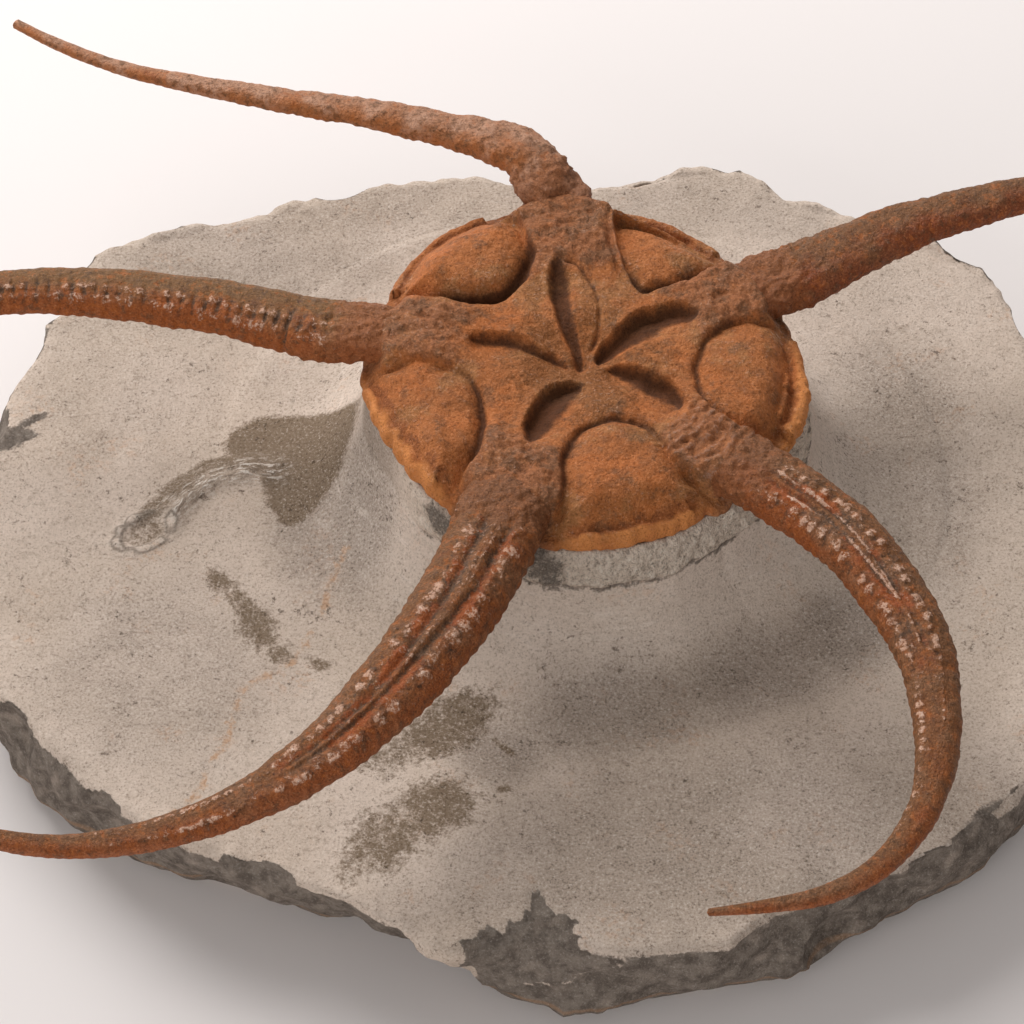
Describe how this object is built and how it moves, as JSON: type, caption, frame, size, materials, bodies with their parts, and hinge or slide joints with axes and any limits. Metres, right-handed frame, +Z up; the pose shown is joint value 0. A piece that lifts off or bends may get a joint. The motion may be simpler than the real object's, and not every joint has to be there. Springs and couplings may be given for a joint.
{
  "type": "fossil brittle star on rock matrix",
  "caption": "Fossil brittle star, mouth side up, freed from its rock and carried on a round pedestal carved from a flat slab of grey sandstone.",
  "frame": {"origin": "on the flat underside that the slab rests on, directly below the mouth at the middle of the disc", "axes": "+Z up out of the fossil's mouth side, +X to the right along the widest spread of the arms, +Y to the back, away from the two arms that reach furthest forward"},
  "size_m": [0.1591, 0.1119, 0.0326],
  "materials": {
    "sandstone": "fine-grained warm grey sandstone, ground smooth on top, dark and rough where broken",
    "fossil_disc": "orange-brown iron-stained fossil, finely granular, faint waxy sheen",
    "fossil_arm": "rust-brown iron-stained fossil plates, smooth flanks with a soft gloss and pale worn ridges"
  },
  "bodies": {
    "root": {"matrix": "sandstone", "disc": "fossil_disc", "arm_back": "fossil_arm", "arm_right": "fossil_arm", "arm_front_right": "fossil_arm", "arm_front_left": "fossil_arm", "arm_left": "fossil_arm"}
  },
  "joints": []
}
